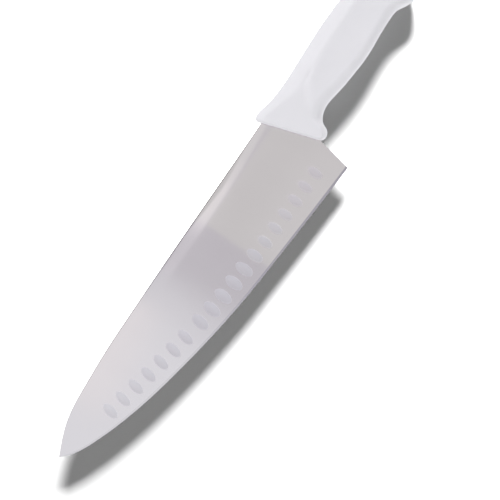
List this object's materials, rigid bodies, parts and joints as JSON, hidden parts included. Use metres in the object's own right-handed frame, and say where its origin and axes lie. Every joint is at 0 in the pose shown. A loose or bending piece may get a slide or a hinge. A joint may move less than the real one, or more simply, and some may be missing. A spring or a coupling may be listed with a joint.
{
  "type": "chef knife",
  "caption": "Cook's knife with a wide curved stainless blade, oval hollows in both faces and a white moulded grip with a finger guard and a hooked butt.",
  "frame": {"origin": "under the middle of the whole knife, on the plane that its right side lies on", "axes": "+X along the blade towards the butt of the handle, +Y towards the spine, +Z out of the left face of the blade"},
  "size_m": [0.3904, 0.0682, 0.021],
  "materials": {
    "steel": "fine satin grind, sharpened edge brighter",
    "core_plastic": "unfinished moulding, hidden",
    "grip_plastic": "satin moulded white, fine texture"
  },
  "bodies": {
    "root": {"blade_with_tang": "steel", "handle_core": "core_plastic", "handle_grip": "grip_plastic"}
  },
  "joints": []
}
